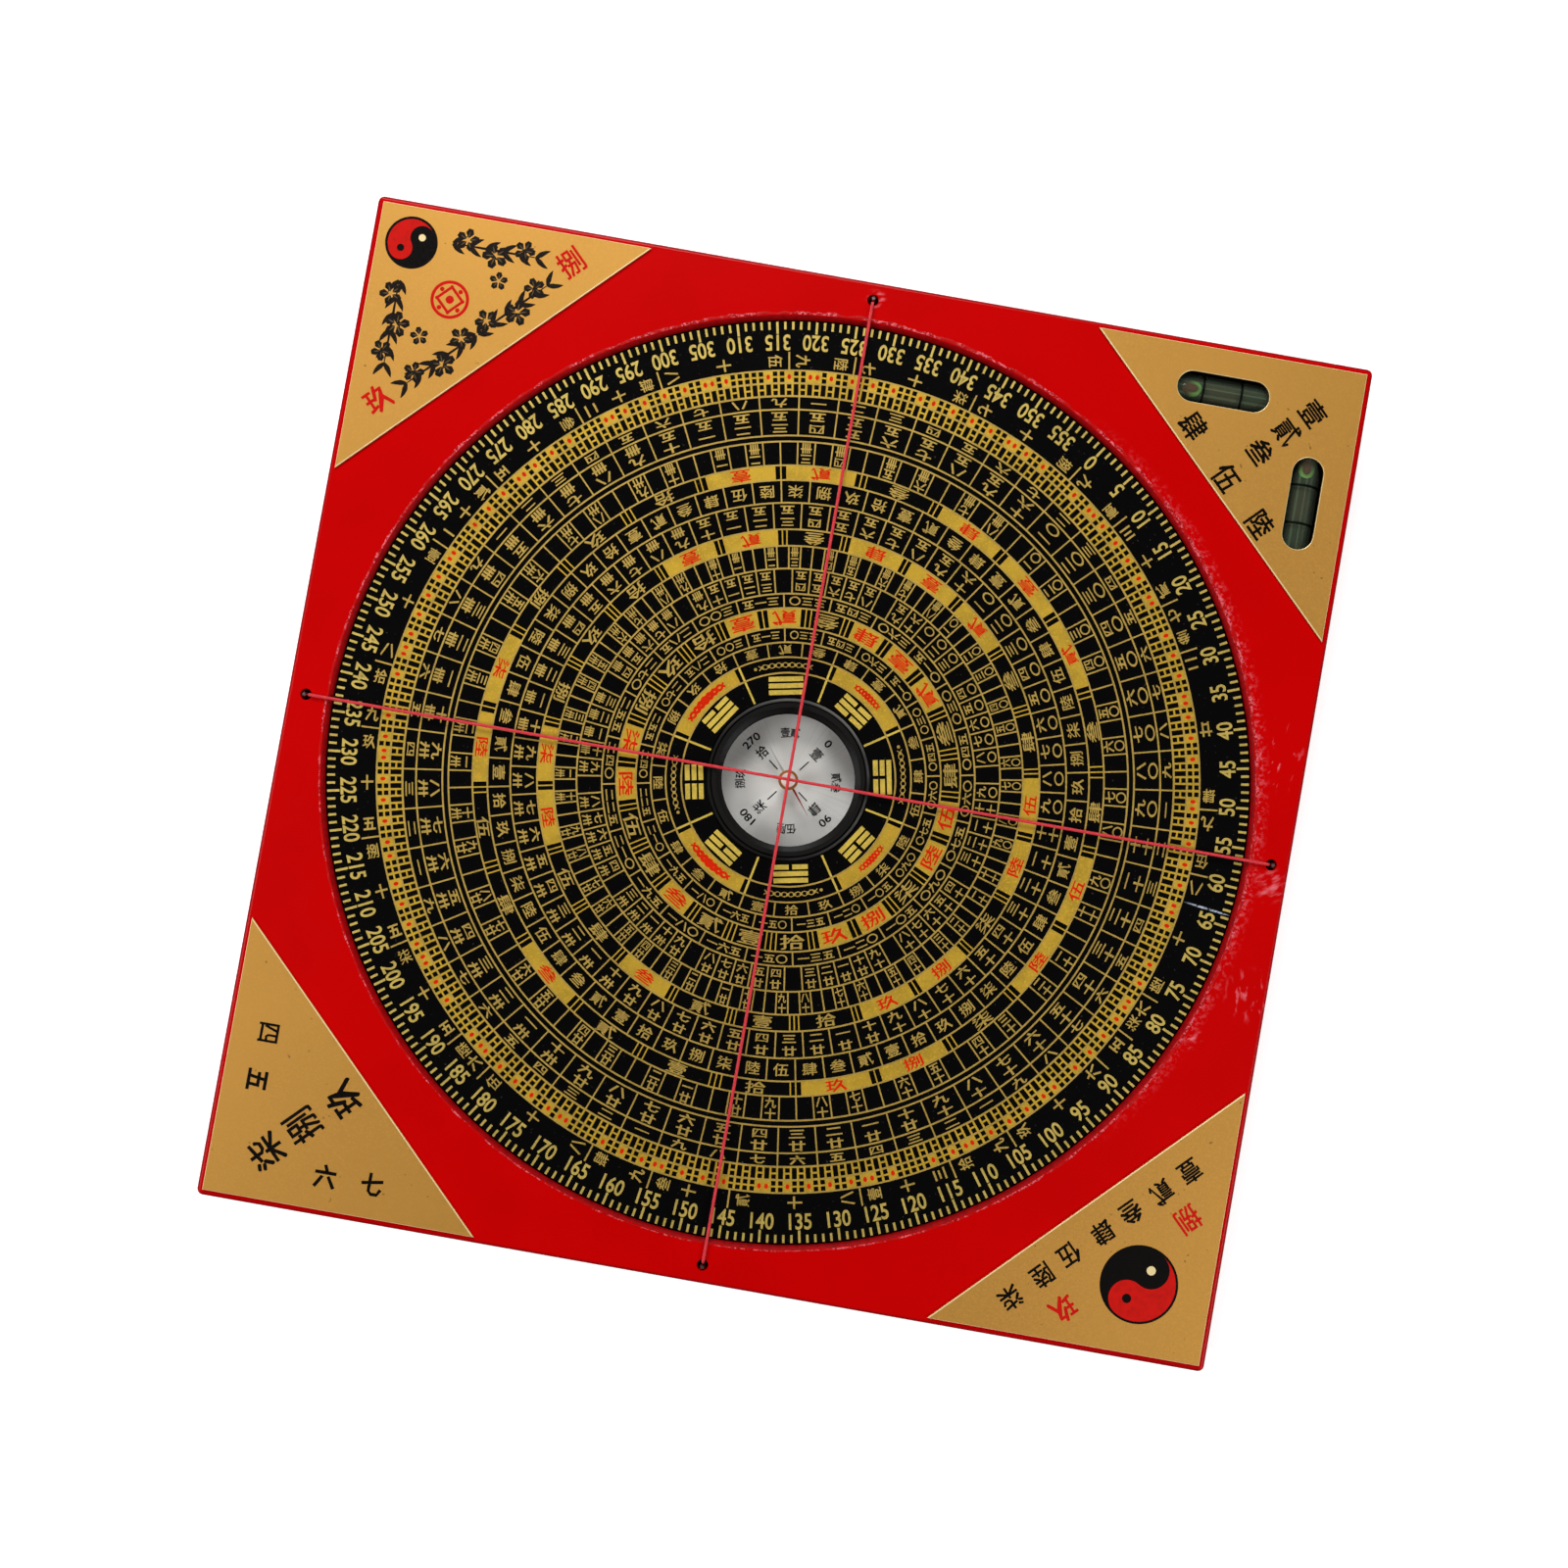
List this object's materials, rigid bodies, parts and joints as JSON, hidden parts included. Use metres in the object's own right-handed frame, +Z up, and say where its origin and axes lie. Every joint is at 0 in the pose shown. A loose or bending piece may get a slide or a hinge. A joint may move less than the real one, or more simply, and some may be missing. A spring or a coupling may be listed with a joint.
{
  "type": "feng shui compass",
  "caption": "Square board holding a turning round dial with a needle capsule, crossed sighting threads and level vials under gold corner plates; a feng shui compass.",
  "frame": {"origin": "centre of the board's underside", "axes": "+Z up out of the dial; +Y towards the board's top edge, between the plate with the two vials (right) and the top left plate; +X towards the right edge"},
  "size_m": [0.211, 0.211, 0.0198],
  "materials": {
    "red_lacquer": "glossy red lacquer",
    "back_panel": "satin red lacquer",
    "gold_plate": "matte gold",
    "vial_glass": "clear",
    "vial_fluid": "dark green liquid",
    "vial_bubble": "bright green",
    "vial_plug": "satin",
    "dial_core": "satin black",
    "dial_face": "semi-gloss black with gold print",
    "capsule_black": "semi-gloss",
    "capsule_lens": "clear",
    "card_silver": "satin",
    "pin_steel": "polished",
    "needle_red": "satin, red half and pale half",
    "cap_brass": "polished",
    "thread_red": "satin",
    "peg_metal": "satin"
  },
  "bodies": {
    "base": {"base_frame": "red_lacquer", "back_panel": "back_panel", "corner_plate_tr": "gold_plate", "corner_plate_tl": "gold_plate", "corner_plate_bl": "gold_plate", "corner_plate_br": "gold_plate", "vial_tube_a": "vial_glass", "vial_tube_b": "vial_glass", "vial_fluid_a": "vial_fluid", "vial_fluid_b": "vial_fluid", "vial_plug_a": "vial_plug", "vial_plug_b": "vial_plug", "thread_left_right": "thread_red", "thread_top_bottom": "thread_red", "thread_peg_right": "peg_metal", "thread_peg_top": "peg_metal", "thread_peg_left": "peg_metal", "thread_peg_bottom": "peg_metal"},
    "dial": {"dial_disc": "dial_core", "dial_face": "dial_face", "capsule_cup": "capsule_black", "capsule_card": "card_silver", "capsule_lens": "capsule_lens", "capsule_bezel": "capsule_black", "pivot_pin": "pin_steel"},
    "needle": {"needle_blade": "needle_red", "needle_cap": "cap_brass"},
    "bubble_a": {"vial_bubble_a": "vial_bubble"},
    "bubble_b": {"vial_bubble_b": "vial_bubble"}
  },
  "joints": [
    {"name": "dial_turn", "type": "hinge", "parent": "base", "child": "dial", "pos_m": [0, 0, 0.0174], "axis": [0, 0, 1], "continuous": true},
    {"name": "needle_swing", "type": "hinge", "parent": "dial", "child": "needle", "pos_m": [0, 0, 0.0138], "axis": [0, 0, 1], "continuous": true},
    {"name": "bubble_a_slide", "type": "slide", "parent": "base", "child": "bubble_a", "axis": [1, 0, 0], "range_m": [-0.0014, 0.0135]},
    {"name": "bubble_b_slide", "type": "slide", "parent": "base", "child": "bubble_b", "axis": [0, -1, 0], "range_m": [0, 0.0149]}
  ]
}
